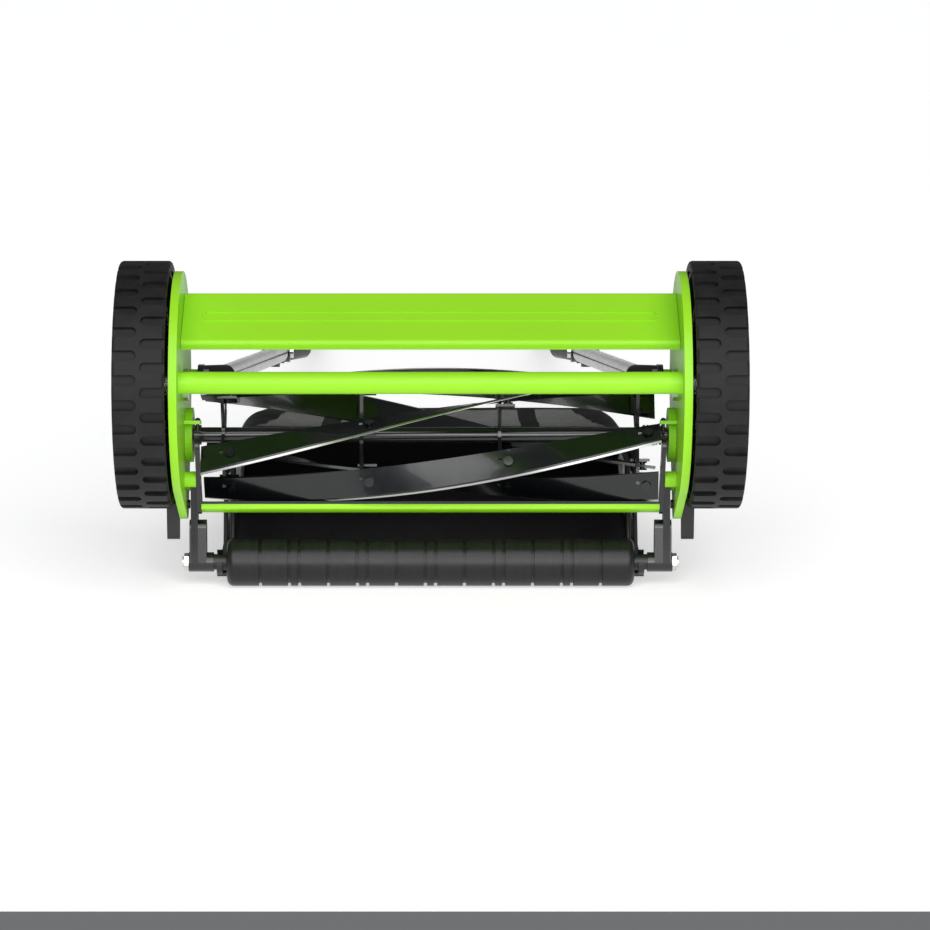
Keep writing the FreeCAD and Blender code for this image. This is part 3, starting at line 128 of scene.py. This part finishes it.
class Finish:
    """A material whose shader takes plain numbers and colours, or links that vary."""

    def __init__(self, name, colour, roughness, metallic=0.0, coat=0.0):
        self.material = bpy.data.materials.new(name)
        self.material.use_nodes = True
        self.material.diffuse_color = (*colour, 1)
        self.tree = self.material.node_tree
        self.shader = self.tree.nodes["Principled BSDF"]
        self.shader.inputs["Base Color"].default_value = (*colour, 1)
        self.shader.inputs["Roughness"].default_value = roughness
        self.shader.inputs["Metallic"].default_value = metallic
        self.shader.inputs["Coat Weight"].default_value = coat

    def node(self, kind, settings, output, **sockets):
        """Adds a node, sets it up, fills its sockets and returns one of its outputs."""
        made = self.tree.nodes.new("ShaderNode" + kind)
        for setting, choice in settings.items():
            setattr(made, setting, choice)
        for label, item in sockets.items():
            label = label.replace("_", " ")
            slot = next(s for s in made.inputs if s.enabled and s.name == label)
            if isinstance(item, Signal):
                self.tree.links.new(item.socket, slot)
            else:
                slot.default_value = item
        return Signal(self.tree, next(s for s in made.outputs if s.enabled and s.name == output))

    def position(self):
        return self.node("TexCoord", {}, "Object")

    def axis(self, letter):
        """One of the object's own coordinates, in metres."""
        return self.node("SeparateXYZ", {}, letter, Vector=self.position())

    def grain(self, scale, detail=2.0):
        """An even mottle, the same in every direction."""
        return self.node("TexNoise", {}, "Fac", Vector=self.position(), Scale=scale,
                         Detail=detail, Roughness=0.55)

    def streaks(self, scale, detail):
        """Marks drawn out along the axes that have the smaller scale."""
        stretched = self.node("Mapping", {}, "Vector", Vector=self.position(), Scale=scale)
        return self.node("TexNoise", {}, "Fac", Vector=stretched, Scale=1.0, Detail=detail)

    def mix(self, mask, low, high):
        """A colour that runs from low to high with a mask."""
        return self.node("Mix", {"data_type": "RGBA"}, "Result", Factor=mask, A=low, B=high)

    def tint(self, mask, low, high):
        self.feed("Base Color", self.mix(mask, (*low, 1), (*high, 1)))

    def feed(self, socket, signal):
        self.tree.links.new(signal.socket, self.shader.inputs[socket])

    def relief(self, height, distance, strength=1.0):
        """Bump from a height signal, in metres at full strength."""
        bumped = self.node("Bump", {}, "Normal", Height=height, Distance=distance,
                           Strength=strength)
        self.feed("Normal", bumped)

    def coat(self, *names):
        """Gives this finish to CAD nodes, in place of all their slots."""
        for name in names:
            mesh = nodes[name].data
            mesh.materials.clear()
            mesh.materials.append(self.material)


sweep = Finish("white_sweep", (0.8, 0.8, 0.8), 0.6)
sweep.feed("Roughness", sweep.grain(3.0) * 0.1 + 0.75)
sweep.shader.inputs["Specular IOR Level"].default_value = 0.1
sweep.shader.inputs["Emission Color"].default_value = (1, 1, 1, 1)
sweep.shader.inputs["Emission Strength"].default_value = 0.5
floor.data.materials.append(sweep.material)

ROOM_GLOW = 0.17
world = bpy.data.worlds.new("white_room")
bpy.context.scene.world = world
world.use_nodes = True
background = world.node_tree.nodes["Background"]
background.inputs["Color"].default_value = (0.96, 0.98, 1, 1)
background.inputs["Strength"].default_value = ROOM_GLOW

BANK_TILT = math.radians(54)
BANK_TURN = math.radians(6)
BANK_SPREAD = math.radians(60)
bpy.ops.object.light_add(type="SUN", rotation=(BANK_TILT, 0, BANK_TURN))
overhead = bpy.context.object
overhead.name = "overhead_bank"
overhead.data.energy = 2.5
overhead.data.angle = BANK_SPREAD
SOFTBOXES = (
    ("low_front_strip", (0.1, -2.6, 0.55), (1.42, 0, 0.03), 1.0, 7),
    ("left_softbox", (-2.6, -0.9, 0.9), (1.3, 0, -1.25), 1.2, 2),
    ("right_softbox", (2.6, -0.9, 0.9), (1.3, 0, 1.25), 1.2, 2),
)
for name, spot, aim, across, watts in SOFTBOXES:
    bpy.ops.object.light_add(type="AREA", location=spot, rotation=aim)
    lamp = bpy.context.object
    lamp.name = name
    lamp.data.size = across
    lamp.data.energy = watts

# ---------------------------------------------------------------------------------------
# Side plates, tie tube, cover, knife carrier, its rivets, lugs and bolt spacers: pressed and
# drawn mild steel, powder coated lime green.  The coat is satin with a faint orange peel.

LIME = (0.35, 0.80, 0.022)
LIME_DEEP = (0.31, 0.73, 0.018)
green = Finish("lime_powder_coat", LIME, 0.4, coat=0.08)
green.shader.inputs["Specular IOR Level"].default_value = 0.25
green.shader.inputs["Coat Roughness"].default_value = 0.12
green.tint(green.grain(9.0, 3.0), LIME_DEEP, LIME)
green.feed("Roughness", green.grain(40.0) * 0.08 + 0.38)
green.relief(green.grain(700.0, 1.0), 0.00004, 0.5)
green.coat("side_plate_left", "side_plate_right", "tie_tube", "front_cover", "knife_carrier",
           "adjuster_lugs", "knife_rivets", "bolt_spacers")

# ---------------------------------------------------------------------------------------
# Tyres: moulded black rubber, pressed on the wheel.  The rubber is matt, and scuffed a
# little paler in patches.

rubber = Finish("tread_rubber", (0.026, 0.026, 0.027), 0.62)
scuff = rubber.grain(60.0, 6.0)
fine = rubber.grain(900.0, 3.0)
rubber.shader.inputs["Specular IOR Level"].default_value = 0.3
rubber.tint(scuff ** 2.0, (0.004, 0.004, 0.004), (0.028, 0.028, 0.029))
rubber.feed("Roughness", scuff * 0.25 + 0.48)
rubber.relief(fine * 0.6 + scuff * 0.4, 0.0004, 0.35)
rubber.coat("tyre_left", "tyre_right")

# ---------------------------------------------------------------------------------------
# Wheels, ring gears, hub caps, levers, knobs, catcher hooks and roller collars: black nylon
# and polypropylene mouldings with a fine spark-eroded grain.

moulding = Finish("black_moulding", (0.02, 0.02, 0.021), 0.42)
moulding.tint(moulding.grain(25.0, 4.0), (0.007, 0.007, 0.007), (0.018, 0.018, 0.018))
moulding.feed("Roughness", moulding.grain(120.0, 4.0) * 0.16 + 0.34)
moulding.relief(moulding.grain(1400.0, 2.0), 0.0001, 0.35)
moulding.coat("wheel_left", "wheel_right", "ring_gear_left", "ring_gear_right", "hub_cap_left",
              "hub_cap_right", "height_lever_left", "height_lever_right", "fold_knob_left",
              "fold_knob_right", "catcher_hooks", "roller_collars")

# ---------------------------------------------------------------------------------------
# Roller: blow-moulded black plastic, semi-gloss, with faint drag marks that run round it
# from rolling.

roller = Finish("roller_plastic", (0.035, 0.035, 0.036), 0.36)
drag = roller.streaks((260, 12, 12), 3.0)
roller.shader.inputs["Specular IOR Level"].default_value = 0.35
roller.tint(drag, (0.004, 0.004, 0.004), (0.014, 0.014, 0.014))
roller.feed("Roughness", drag * 0.18 + 0.28)
roller.relief(drag, 0.00012, 0.4)
roller.coat("roller")

# ---------------------------------------------------------------------------------------
# Bed knife and its arms, brackets, the reel's shaft, spiders, rivets, collar and spring, the
# handle tubes and the bow: gloss black enamel over steel plate, bar, wire and tube.

enamel = Finish("black_enamel", (0.008, 0.008, 0.009), 0.2, coat=0.3)
enamel.shader.inputs["Coat Roughness"].default_value = 0.08
enamel.tint(enamel.grain(14.0, 3.0), (0.004, 0.004, 0.005), (0.009, 0.009, 0.010))
enamel.feed("Roughness", enamel.grain(50.0, 3.0) * 0.14 + 0.16)
enamel.relief(enamel.grain(800.0, 1.0), 0.00004, 0.4)
enamel.coat("bed_knife", "bracket_left", "bracket_right", "knife_arm_left", "knife_arm_right",
            "reel_spiders", "reel_shaft", "reel_rivets", "shaft_collar", "handle_tube_left",
            "handle_tube_right", "handle_bow", "reel_spring")

# ---------------------------------------------------------------------------------------
# Reel blades: spring steel strips in black enamel, ground bright along the outer edge
# after assembly, so the grinding follows the reel's own radius.

GROUND_FROM = 0.0583
blade = Finish("ground_blade", (0.012, 0.012, 0.013), 0.22, coat=0.4)
centred = blade.node("Mapping", {}, "Vector", Vector=blade.position(),
                     Location=(0, -reel_axis.y, -reel_axis.z))
out_y = blade.node("SeparateXYZ", {}, "Y", Vector=centred)
out_z = blade.node("SeparateXYZ", {}, "Z", Vector=centred)
ground = (out_y * out_y + out_z * out_z) ** 0.5 > GROUND_FROM
scratches = blade.streaks((900, 60, 60), 2.0)
blade.tint(ground, (0.004, 0.005, 0.006), (0.46, 0.46, 0.45))
blade.feed("Metallic", ground)
blade.feed("Roughness", ground * 0.08 + scratches * 0.12 + 0.16)
blade.feed("Coat Weight", 0.25 - ground * 0.25)
blade.relief(scratches, 0.00005, 0.3)
blade.coat("reel_blades")

# ---------------------------------------------------------------------------------------
# Pinions and spring washers: bare hardened steel, ground and lightly oiled, with fine
# marks across the width.

ground_steel = Finish("ground_steel", (0.62, 0.62, 0.61), 0.26, metallic=1.0)
brush = ground_steel.streaks((700, 40, 40), 4.0)
ground_steel.tint(brush, (0.46, 0.46, 0.45), (0.74, 0.74, 0.73))
ground_steel.feed("Roughness", brush * 0.2 + 0.18)
ground_steel.relief(brush, 0.00004, 0.4)
ground_steel.coat("pinion_left", "pinion_right", "lever_springs")

# ---------------------------------------------------------------------------------------
# Axles, spacers, circlips, fold bolts, nuts and the roller's shaft: turned or pressed steel,
# zinc plated bright, with a fine mottle from the bath.

zinc = Finish("bright_zinc", (0.66, 0.67, 0.66), 0.24, metallic=1.0)
zinc.tint(zinc.grain(180.0, 4.0), (0.50, 0.51, 0.50), (0.78, 0.78, 0.76))
zinc.feed("Roughness", zinc.grain(300.0, 3.0) * 0.2 + 0.16)
zinc.relief(zinc.grain(900.0, 2.0), 0.00005, 0.3)
zinc.coat("axle_left", "axle_right", "axle_spacers", "axle_clips", "pinion_clips",
          "fold_bolts", "handle_nuts", "roller_nuts", "roller_shaft")

# ---------------------------------------------------------------------------------------
# Adjusting screws and the catcher's wire hoop: steel, blacked and lightly oiled, a little
# uneven in colour.

plated = Finish("black_fastener", (0.02, 0.02, 0.02), 0.35, metallic=0.6)
plated.tint(plated.grain(220.0, 3.0), (0.012, 0.012, 0.012), (0.05, 0.05, 0.05))
plated.feed("Roughness", plated.grain(300.0, 2.0) * 0.2 + 0.28)
plated.coat("adjuster_screws", "catcher_wire")

# ---------------------------------------------------------------------------------------
# Frame bolts: hexagon bolts through the side plates, painted over with the frame, so their
# green is a little deeper and glossier than the plates'.

green_bolts = Finish("painted_bolt", LIME_DEEP, 0.34, coat=0.3)
green_bolts.tint(green_bolts.grain(120.0, 3.0), (0.24, 0.58, 0.014), LIME)
green_bolts.feed("Roughness", green_bolts.grain(90.0) * 0.1 + 0.3)
green_bolts.coat("frame_bolts")

# ---------------------------------------------------------------------------------------
# Wheel bushes and reel bearings: sintered bronze, oiled, with a fine open grain.
# They are pressed into the wheels and the side plates.

bronze = Finish("oiled_bronze", (0.42, 0.27, 0.13), 0.4, metallic=1.0)
bronze.tint(bronze.grain(300.0, 4.0), (0.30, 0.19, 0.09), (0.52, 0.36, 0.18))
bronze.feed("Roughness", bronze.grain(200.0, 2.0) * 0.2 + 0.32)
bronze.coat("wheel_bush_left", "wheel_bush_right", "reel_bearing_left", "reel_bearing_right")

# ---------------------------------------------------------------------------------------
# Handle grip: a closed-cell foam sleeve pushed over the bow, soft matt black with a fine
# open skin.

foam = Finish("grip_foam", (0.014, 0.014, 0.015), 0.92)
cells = foam.node("TexVoronoi", {}, "Distance", Vector=foam.position(), Scale=900.0)
foam.tint(cells, (0.008, 0.008, 0.009), (0.026, 0.026, 0.028))
foam.feed("Roughness", cells * 0.1 + 0.84)
foam.relief(cells, 0.0004, 0.5)
foam.coat("handle_grip")

# ---------------------------------------------------------------------------------------
# Catcher floor: one black polypropylene plate under the bag, smooth with a satin shine.

tray = Finish("tray_plastic", (0.05, 0.05, 0.052), 0.3)
tray.tint(tray.grain(8.0, 4.0), (0.060, 0.058, 0.060), (0.085, 0.082, 0.085))
tray.feed("Roughness", tray.grain(60.0, 4.0) * 0.14 + 0.24)
tray.relief(tray.grain(1600.0, 1.0), 0.00005, 0.4)
tray.coat("catcher_floor")

# ---------------------------------------------------------------------------------------
# Catcher bag: one sleeve of black woven polyester over the top and both sides, sewn to a
# rear panel, with grey knitted mesh windows.  The mouth hangs on its wire hoop and the foot
# is clipped to the tray, so the cloth sags and folds between them.

BAG_HALF = 0.1865
REAR_NARROWER = 0.004
REAR_HALF = BAG_HALF - REAR_NARROWER
BAG_FOOT = 0.0032
BAG_MOUTH = axle.y + 0.0640
BAG_REAR = axle.y + 0.3785
MOUTH_HIGH = 0.1215
REAR_HIGH = 0.0808
MOUTH_LEAN = 0.40
REAR_LEAN = -0.10
SHOULDER = 0.030
NARROWS_FROM = 0.92
CLOTH_THICKNESS = 0.0012
LONG_FOLD_DEPTH = 0.0046
SLANTED_FOLD_DEPTH = 0.0026
CRUMPLE_DEPTH = 0.0007
SAG_DEPTH = 0.0060
REAR_DISH_DEPTH = 0.010
FOLDS_BEGIN_ABOVE = 0.02
FOLDS_AT_EDGES = 0.25
SLEEVE_FOLD_SEED = 3.0
REAR_FOLD_SEED = 8.0


def sleeve_path(share, half, high):
    """Point and outward direction on the sleeve's section, foot to foot over the top."""
    side = high - BAG_FOOT - SHOULDER
    arc = SHOULDER * math.pi / 2
    top = 2 * (half - SHOULDER)
    run = share * (2 * side + 2 * arc + top)
    mirror = run > side + arc + top / 2
    if mirror:
        run = 2 * side + 2 * arc + top - run
    sign = 1 if mirror else -1
    if run < side:
        return Vector((sign * half, 0, BAG_FOOT + run)), Vector((sign, 0, 0))
    if run < side + arc:
        turn = (run - side) / SHOULDER
        out = Vector((sign * math.cos(turn), 0, math.sin(turn)))
        return Vector((sign * (half - SHOULDER), 0, high - SHOULDER)) + out * SHOULDER, out
    return Vector((sign * (half - SHOULDER - (run - side - arc)), 0, high)), Vector((0, 0, 1))


def cloth_folds(point, seed):
    """Depth of the folds at a place: long soft creases with finer crumples over them."""
    long_fold = abs(noise.noise(Vector((point.x * 7 + seed, point.y * 15, point.z * 9))))
    slanted = noise.noise(Vector(((point.x + point.y) * 21, (point.x - point.y) * 8, seed)))
    crumple = noise.noise(Vector((point.x * 55, point.y * 60, point.z * 50 + seed)))
    return (LONG_FOLD_DEPTH * long_fold + SLANTED_FOLD_DEPTH * abs(slanted)
            + CRUMPLE_DEPTH * crumple)


bpy.ops.mesh.primitive_grid_add(x_subdivisions=170, y_subdivisions=96, size=1)
sleeve = bpy.context.object
sleeve.name = "catcher_sleeve"
for vertex in sleeve.data.vertices:
    across, back = vertex.co.x + 0.5, vertex.co.y + 0.5
    closing = max(0.0, (back - NARROWS_FROM) / 0.08) ** 2
    half = BAG_HALF - REAR_NARROWER * closing
    high = MOUTH_HIGH + (REAR_HIGH - MOUTH_HIGH) * back
    point, out = sleeve_path(across, half, high)
    lift = point.z - BAG_FOOT
    front = BAG_MOUTH + MOUTH_LEAN * lift
    point.y = front + (BAG_REAR + REAR_LEAN * lift - front) * back
    held = math.sin(math.pi * min(back, 1.0)) ** 0.6
    upper = abs(out.z)
    bay = max(0.0, math.cos(math.pi * point.x / (2 * BAG_HALF)))
    belly = math.sin(math.pi * min(1.0, lift / (high - BAG_FOOT)))
    sag = SAG_DEPTH * held * (1 - back) * bay * upper + SAG_DEPTH * held * belly * (1 - upper)
    loose = FOLDS_AT_EDGES + (1 - FOLDS_AT_EDGES) * held
    sag += cloth_folds(point, SLEEVE_FOLD_SEED) * loose * min(1.0, lift / FOLDS_BEGIN_ABOVE)
    vertex.co = point - out * sag

bpy.ops.mesh.primitive_grid_add(x_subdivisions=96, y_subdivisions=28, size=1)
rear_panel = bpy.context.object
rear_panel.name = "catcher_rear_panel"
for vertex in rear_panel.data.vertices:
    across, up = vertex.co.x * 2, vertex.co.y + 0.5
    x = across * REAR_HALF
    into = max(0.0, abs(x) - (REAR_HALF - SHOULDER))
    top = REAR_HIGH - SHOULDER + math.sqrt(max(0.0, SHOULDER ** 2 - into ** 2))
    z = BAG_FOOT + (top - BAG_FOOT) * up
    dish = REAR_DISH_DEPTH * math.sin(math.pi * up) * math.cos(math.pi * across / 2)
    point = Vector((x, BAG_REAR + REAR_LEAN * (z - BAG_FOOT), z))
    point.y -= dish + cloth_folds(point, REAR_FOLD_SEED) * math.sin(math.pi * up)
    vertex.co = point


def select_only(piece):
    """Leaves one piece selected and active, for the operators that follow."""
    bpy.ops.object.select_all(action="DESELECT")
    piece.select_set(True)
    bpy.context.view_layer.objects.active = piece


for piece in (sleeve, rear_panel):
    select_only(piece)
    cloth = piece.modifiers.new("cloth_thickness", "SOLIDIFY")
    cloth.thickness = CLOTH_THICKNESS
    cloth.offset = 0
    bpy.ops.object.modifier_apply(modifier=cloth.name)
    bpy.ops.object.shade_smooth()
    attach(piece, "catcher")

WINDOW_FRONT = axle.y + 0.120
WINDOW_REAR = axle.y + 0.352
MIDDLE_WINDOW_HALF = 0.084
OUTER_WINDOW_INNER = 0.101
OUTER_WINDOW_OUTER = 0.160
OUTER_WINDOW_TAPER = 0.10
SIDE_WINDOW_BEYOND = 0.170
SIDE_WINDOW_LOW = 0.016
SIDE_WINDOW_HIGH = 0.078
SIDE_WINDOW_FRONT = axle.y + 0.074
SIDE_WINDOW_LEAN = 0.4
KNIT_PITCH = 2700.0
WEAVE_PITCH = 4200.0
KNIT_OPEN_BELOW = 0.42
fabric = Finish("black_polyester", (0.016, 0.016, 0.017), 0.8)
fabric.shader.inputs["Specular IOR Level"].default_value = 0.25
place_x = fabric.axis("X")
place_y = fabric.axis("Y")
place_z = fabric.axis("Z")
aside = abs(place_x)
along = (place_y > WINDOW_FRONT) * (WINDOW_REAR - place_y > 0.0)
middle_window = MIDDLE_WINDOW_HALF - aside > 0.0
outer_edge = OUTER_WINDOW_OUTER - (place_y - WINDOW_FRONT) * OUTER_WINDOW_TAPER
outer_window = (aside > OUTER_WINDOW_INNER) * (outer_edge - aside > 0.0)
side_window = ((aside > SIDE_WINDOW_BEYOND) * (place_z > SIDE_WINDOW_LOW)
               * (SIDE_WINDOW_HIGH - place_z > 0.0)
               * (place_y - place_z * SIDE_WINDOW_LEAN > SIDE_WINDOW_FRONT))
window = along * (middle_window + outer_window) + side_window * (WINDOW_REAR - place_y > 0.0)
first_yarn = (place_x + place_y + place_z) * KNIT_PITCH
second_yarn = (place_x - place_y + place_z) * KNIT_PITCH
knit = first_yarn.sine() * second_yarn.sine() * 0.5 + 0.5
weft = (place_y + place_z) * WEAVE_PITCH
weave = (place_x * WEAVE_PITCH).sine() * weft.sine() * 0.5 + 0.5
faded = fabric.grain(22.0, 4.0)
cloth_shade = fabric.mix(faded * 0.6 + weave * 0.3, (0.003, 0.003, 0.003, 1),
                         (0.016, 0.016, 0.016, 1))
mesh_shade = fabric.mix(knit, (0.14, 0.14, 0.132, 1), (0.42, 0.42, 0.40, 1))
fabric.feed("Base Color", fabric.mix(window, cloth_shade, mesh_shade))
fabric.feed("Alpha", 1.0 - window * (KNIT_OPEN_BELOW - knit > 0.0))
fabric.feed("Roughness", faded * 0.14 + 0.72)
fabric.relief(weave * (1.0 - window) + knit * window * 1.6, 0.0005, 0.6)
for piece in (sleeve, rear_panel):
    piece.data.materials.append(fabric.material)

# ---------------------------------------------------------------------------------------
# Bag binding: black cord piping sewn round the mouth, along the rear seam and down to the
# tray, drawn from the sleeve's own section so that it lies on the seams.

RIB_PITCH = 5200.0
PATH_STEPS = 60
binding = Finish("binding_tape", (0.012, 0.012, 0.013), 0.55)
ribs = (binding.axis("X") + binding.axis("Y") + binding.axis("Z")) * RIB_PITCH
ribbed = ribs.sine() * 0.5 + 0.5
binding.tint(ribbed, (0.008, 0.008, 0.009), (0.030, 0.030, 0.031))
binding.feed("Roughness", ribbed * 0.12 + 0.46)
binding.relief(ribbed, 0.0003, 0.5)
PIPING = (
    ("mouth_piping", BAG_MOUTH, MOUTH_LEAN, BAG_HALF, MOUTH_HIGH, 0.0021),
    ("rear_piping", BAG_REAR, REAR_LEAN, REAR_HALF, REAR_HIGH, 0.0018),
)
for name, start_y, lean, half, high, thickness in PIPING:
    bpy.ops.curve.primitive_nurbs_path_add(location=(0, 0, 0))
    piping = bpy.context.object
    piping.name = name
    line = piping.data.splines[0]
    line.points.add(PATH_STEPS + 1 - len(line.points))
    for index, control in enumerate(line.points):
        point, out = sleeve_path(index / PATH_STEPS, half, high)
        point.y = start_y + lean * (point.z - BAG_FOOT)
        control.co = (*(point - out * thickness), 1)
    line.use_endpoint_u = True
    line.order_u = 3
    piping.data.bevel_depth = thickness
    piping.data.bevel_resolution = 3
    select_only(piping)
    bpy.ops.object.convert(target="MESH")
    piping = bpy.context.object
    bpy.ops.object.shade_smooth()
    piping.data.materials.append(binding.material)
    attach(piping, "catcher")
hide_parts("catcher_bag")
